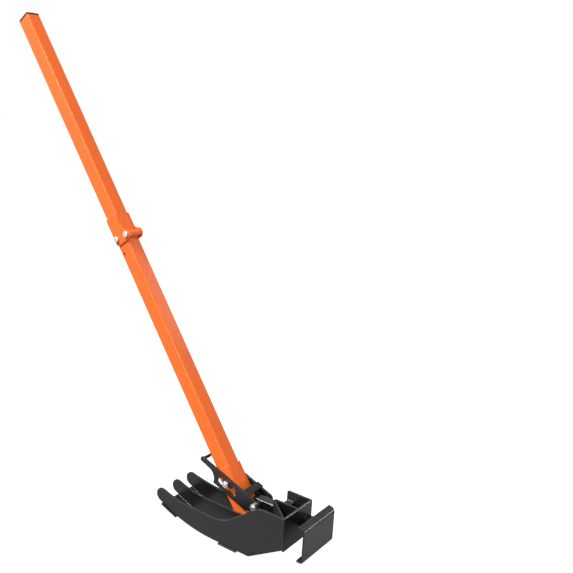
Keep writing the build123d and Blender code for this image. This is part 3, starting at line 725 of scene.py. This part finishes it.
class PULLER_OT_welds(bpy.types.Operator):
    """Lay the weld beads that hold the plates, treads, heel and hinge together"""

    bl_idname = "puller.welds"
    bl_label = "Lay welds"

    # All in millimetres. How far the middle of a bead lies off the face that it runs along
    OFF_PLATE, OFF_THIN = 0.8, 0.6
    # The rocker's arc
    ROCKER_X, ROCKER_Z, ROCKER_RADIUS = -55.0, 447.13, 497.13
    # Beads on the treads: the front one's ends and height, and the rear ones' starts and length
    FRONT_TREAD, FRONT_TREAD_Z = (-33, 28), -49.2
    REAR_TREAD, REAR_TREAD_RUN = (-199, -218.5, -237.5), 19.5
    # Beads behind the front plate, on the diagonal rib and along the drawbar guides
    FRONT_X, FRONT_LOW, RIB_LOW, BOX_HIGH = 178.2, 20, 43, 108
    GUIDE, GUIDE_HEIGHTS = (106, 127), (83.1, 38.9)
    # Beads round the drawbar on the jaw
    JAW_X, JAW_HALF, JAW_LOW, JAW_HIGH = 248.4, 15.6, 45.4, 76.6
    # Beads at both ends of the bridge: the points, along the links, where they start and end
    BRIDGE_FRONT, BRIDGE_REAR = (-33, 13.6), (-51, 13.2)
    # Beads on the lever: across the tops of the plates on its sides, and along the knuckle
    SIDE_HALF, HEEL_TOP, HINGE_TOP = 19, 162.6, 1008.6
    KNUCKLE_X, KNUCKLE_HALF, KNUCKLE_HEIGHTS = 26, 22, (921.2, 942.8)

    def execute(self, context):
        sizes = context.scene.puller_sizes
        heel, hinge = self.side_runs(self.HEEL_TOP), self.side_runs(self.HINGE_TOP)
        self.lay("tread_welds", self.tread_runs(), IN_BASE, "base", "black", sizes, 1.45)
        self.lay("box_welds", self.box_runs(), IN_BASE, "base", "black", sizes)
        self.lay("jaw_welds", self.jaw_runs(), IN_BASE, "jaw", "black", sizes)
        self.lay("bridge_welds", self.bridge_runs(), IN_LINK, "links", "black", sizes)
        self.lay("heel_welds", heel, IN_LEVER, "lever", "orange", sizes)
        self.lay("knuckle_welds", self.knuckle_runs(), IN_LEVER, "lever", "orange", sizes)
        self.lay("hinge_plate_welds", hinge, IN_LEVER, "upper_lever", "orange", sizes)
        return {"FINISHED"}

    def lay(self, name, runs, place, body, coat, sizes, swell=1.0):
        """One piece of beads that share a body; each run is two points in millimetres."""
        bm = bmesh.new()
        for start, end in runs:
            bead(bm, Vector(start) * MM, Vector(end) * MM, swell * sizes.bead, sizes.ripple)
        bmesh.ops.transform(bm, matrix=place, verts=bm.verts)
        piece = new_piece(name, bm, f"{coat}_powder_coat", body)
        for face in piece.data.polygons:
            face.use_smooth = True

    def on_rocker(self, x, y):
        share = math.asin((x - self.ROCKER_X) / self.ROCKER_RADIUS)
        return (x, y, self.ROCKER_Z - self.ROCKER_RADIUS * math.cos(share))

    def beside_plates(self, off):
        """Middles of beads beside the outer, the middle and the drive plate."""
        return OUTER_IN + off, MIDDLE_OUT - off, MIDDLE_IN + off, DRIVE_IN - off

    def tread_runs(self):
        runs = []
        for y in self.beside_plates(self.OFF_PLATE):
            runs.append([(x, y, self.FRONT_TREAD_Z) for x in self.FRONT_TREAD])
            for x in self.REAR_TREAD:
                runs.append((self.on_rocker(x, y), self.on_rocker(x - self.REAR_TREAD_RUN, y)))
        return runs

    def box_runs(self):
        outer, middle_out, middle_in, drive = self.beside_plates(self.OFF_PLATE)
        runs = []
        for y in (outer, drive, middle_out, middle_in):
            runs.append(((self.FRONT_X, y, self.FRONT_LOW), (self.FRONT_X, y, self.BOX_HIGH)))
        rib_rear = (107.0, MIDDLE_OUT - self.OFF_THIN)
        rib_front, rib_corner = (174.6, OUTER_IN + self.OFF_THIN), (178.4, -98.2)
        for x, y in (rib_rear, rib_front, rib_corner):
            runs.append(((x, y, self.RIB_LOW), (x, y, self.BOX_HIGH)))
        for y in (middle_in, drive):
            for z in self.GUIDE_HEIGHTS:
                runs.append([(x, y, z) for x in self.GUIDE])
        return runs

    def jaw_runs(self):
        x, half, low, high = self.JAW_X, self.JAW_HALF, self.JAW_LOW, self.JAW_HIGH
        corners = [(x, -half, low), (x, half, low), (x, half, high), (x, -half, high)]
        return list(zip(corners, corners[1:] + corners[:1]))

    def bridge_runs(self):
        ends = self.BRIDGE_FRONT, self.BRIDGE_REAR
        sides = MIDDLE_IN + self.OFF_THIN, DRIVE_IN - self.OFF_THIN
        return [[(x, y, z) for x, z in ends] for y in sides]

    def side_runs(self, top):
        """Beads across both sides of the lever's tube."""
        off, half = TUBE_HALF + self.OFF_THIN, self.SIDE_HALF
        return [((-half, side * off, top), (half, side * off, top)) for side in (-1, 1)]

    def knuckle_runs(self):
        x, half = self.KNUCKLE_X, self.KNUCKLE_HALF
        return [((x, -half, z), (x, half, z)) for z in self.KNUCKLE_HEIGHTS]


class PULLER_OT_stage(bpy.types.Operator):
    """Set the floor, the lights and the camera"""

    bl_idname = "puller.stage"
    bl_label = "Set stage"

    # The camera's place in metres, its right, up and backward axes, and the picture's shift
    EYE = (0.96796, -1.59101, 1.12041)
    RIGHT = (0.78719, 0.61538, 0.04042)
    UP = (-0.179, 0.16528, 0.96986)
    BACK = (0.59016, -0.77071, 0.24027)
    SHIFT_X, SHIFT_Y = 0.09723, 0.0086
    # Lamp, named as the setting of its power, and its place and size in metres
    LAMPS = (
        ("key", (-5.3, -6.0, 9.7), 2.2),
        ("front", (2.7, -1.8, 8.2), 1.4),
        ("back", (-1.9, 3.0, 2.4), 2.0),
        ("rim", (1.08, 2.52, 2.37), 0.8),
    )
    # Point that all lamps look at
    LAMP_AIM = Vector((-0.4, 0.0, 0.5))
    # Directions of the cards: away from the camera over the floor, across that, and up
    AHEAD, ACROSS, UPRIGHT = Vector((0.66, 0.75, 0)), Vector((-0.75, 0.66, 0)), Vector((0, 0, 1))
    # Card, its centre and two half sides in metres, and its glow
    TONE_CARDS = (
        ("ground_card", (0, 0, FLOOR + 0.5 * MM), (9, 0, 0), (0, 9, 0), 0.66),
        # The card under the base glows dimmer than the ground card: a painted shadow of the tool on
        # the floor, seen only in reflections
        ("shade_card", (0.0, 0.12, FLOOR + 1 * MM), (0.12, 0, 0), (0, 0.2, 0), 0.3),
        ("floor_card", (0.86, 0.92, FLOOR + 1 * MM), 0.85 * AHEAD, 0.9 * ACROSS, 0.15),
        ("dark_card", (1.79, 1.97, 0.45), 0.9 * ACROSS, 0.56 * UPRIGHT, 0.0),
    )
    # The same, with the glow as a share of the strength of the edge lines
    LINE_CARDS = (
        ("line_card", (1.75, 1.92, 0.17), 0.8 * ACROSS, 0.15 * UPRIGHT, 0.5),
        ("strip_card", (-0.95, -3.1, 1.7), (-1.4, 0.2, 1.05), (0.15, 0.03, 0.2), 0.6),
        ("bar_card", (-4.7, -3.76, 5.36), (0, -1.6, -1.1), (1.0, -0.38, 0.53), 0.9),
    )

    def execute(self, context):
        stage = context.scene.puller_stage
        context.scene.view_settings.view_transform = "Standard"
        self.floor(stage)
        self.sky(context.scene, stage)
        for name, place, size in self.LAMPS:
            self.lamp(name, place, size, getattr(stage, name))
        for name, centre, across, up, glow in self.TONE_CARDS:
            self.card(name, centre, across, up, glow)
        for name, centre, across, up, share in self.LINE_CARDS:
            self.card(name, centre, across, up, share * stage.lines)
        self.camera(context.scene, stage)
        return {"FINISHED"}

    def floor(self, stage):
        """Pale paper that lights itself and that the reflections do not see."""
        bm = bmesh.new()
        bmesh.ops.create_circle(
            bm, cap_ends=True, radius=40.0, segments=96,
            matrix=Matrix.Translation((0, 0, FLOOR - 0.5 * MM)))
        material, tree, shader = start_material("floor_paper")
        light = list(stage.floor)
        dark = [0.985 * channel for channel in light]
        tree.links.new(shades(tree, noise(tree, 3.0), dark, light), shader.inputs["Base Color"])
        shader.inputs["Roughness"].default_value = 0.9
        shader.inputs["Specular IOR Level"].default_value = 0.1
        shader.inputs["Emission Color"].default_value = (1, 1, 1, 1)
        shader.inputs["Emission Strength"].default_value = stage.glow
        piece = new_object("floor", bm, material)
        piece.visible_diffuse = False
        piece.visible_glossy = False

    def card(self, name, centre, across, up, glow):
        """Black or glowing card, given by two half sides, that only the reflections show."""
        across, up = Vector(across), Vector(up)
        sides = Matrix((across, up, across.cross(up).normalized())).transposed().to_4x4()
        bm = bmesh.new()
        bmesh.ops.create_grid(bm, size=1.0, matrix=Matrix.Translation(centre) @ sides)
        material, _, shader = start_material(name)
        shader.inputs["Base Color"].default_value = (0.01, 0.01, 0.01, 1.0)
        shader.inputs["Roughness"].default_value = 1.0
        shader.inputs["Emission Color"].default_value = (1, 1, 1, 1)
        shader.inputs["Emission Strength"].default_value = glow
        piece = new_object(name, bm, material)
        piece.visible_camera = False
        piece.visible_diffuse = False
        piece.visible_shadow = False

    def sky(self, scene, stage):
        """Surround that is brightest at the horizon and dimmer above and below."""
        world = bpy.data.worlds.new("studio")
        world.use_nodes = True
        tree = world.node_tree
        place = tree.nodes.new("ShaderNodeTexCoord")
        split = tree.nodes.new("ShaderNodeSeparateXYZ")
        height = tree.nodes.new("ShaderNodeMapRange")
        height.inputs["From Min"].default_value = -1.0
        ramp = tree.nodes.new("ShaderNodeValToRGB")
        elements = ramp.color_ramp.elements
        bands = (
            (0.42, stage.ground), (0.47, stage.horizon), (0.57, stage.horizon), (0.70, stage.sky))
        while len(elements) < len(bands):
            elements.new(0.5)
        for element, (position, level) in zip(elements, bands):
            element.position = position
            element.color = (level, level, level, 1.0)
        tree.links.new(place.outputs["Generated"], split.inputs["Vector"])
        tree.links.new(split.outputs["Z"], height.inputs["Value"])
        tree.links.new(height.outputs["Result"], ramp.inputs["Fac"])
        tree.links.new(ramp.outputs["Color"], tree.nodes["Background"].inputs["Color"])
        scene.world = world

    def lamp(self, name, place, size, power):
        light = bpy.data.lights.new(name, "AREA")
        light.shape = "DISK"
        light.size = size
        light.energy = power
        lamp = bpy.data.objects.new(name, light)
        lamp.location = place
        aim = self.LAMP_AIM - Vector(place)
        lamp.rotation_euler = aim.to_track_quat("-Z", "Y").to_euler()
        bpy.context.scene.collection.objects.link(lamp)

    def camera(self, scene, stage):
        lens = bpy.data.cameras.new("camera")
        lens.lens = stage.lens
        lens.sensor_width = 36.0
        lens.shift_x, lens.shift_y = self.SHIFT_X, self.SHIFT_Y
        lens.clip_end = 200.0
        camera = bpy.data.objects.new("camera", lens)
        axes = Matrix((self.RIGHT, self.UP, self.BACK)).transposed().to_4x4()
        camera.matrix_world = Matrix.Translation(self.EYE) @ axes
        scene.collection.objects.link(camera)
        scene.camera = camera


STEPS = (
    PULLER_OT_finishes, PULLER_OT_base, PULLER_OT_rockers, PULLER_OT_lever, PULLER_OT_fasteners,
    PULLER_OT_welds, PULLER_OT_stage,
)


class PULLER_PT_panel(bpy.types.Panel):
    """Settings and steps of the tree puller"""

    bl_idname = "PULLER_PT_panel"
    bl_label = "Tree Puller"
    bl_space_type = "VIEW_3D"
    bl_region_type = "UI"
    bl_category = "Puller"

    def draw(self, context):
        for group in ("puller_finish", "puller_sizes", "puller_stage"):
            settings = getattr(context.scene, group)
            box = self.layout.box()
            for name in settings.__annotations__:
                box.prop(settings, name)
        for step in STEPS:
            self.layout.operator(step.bl_idname)


CLASSES = (PullerFinish, PullerSizes, PullerStage, *STEPS, PULLER_PT_panel)


def register():
    for item in CLASSES:
        bpy.utils.register_class(item)
    bpy.types.Scene.puller_finish = bpy.props.PointerProperty(type=PullerFinish)
    bpy.types.Scene.puller_sizes = bpy.props.PointerProperty(type=PullerSizes)
    bpy.types.Scene.puller_stage = bpy.props.PointerProperty(type=PullerStage)


def unregister():
    del bpy.types.Scene.puller_finish
    del bpy.types.Scene.puller_sizes
    del bpy.types.Scene.puller_stage
    for item in reversed(CLASSES):
        bpy.utils.unregister_class(item)


def main():
    register()
    bpy.ops.puller.finishes()
    bpy.ops.puller.base()
    bpy.ops.puller.rockers()
    bpy.ops.puller.lever()
    bpy.ops.puller.fasteners()
    bpy.ops.puller.welds()
    bpy.ops.puller.stage()


if __name__ == "__main__":
    main()
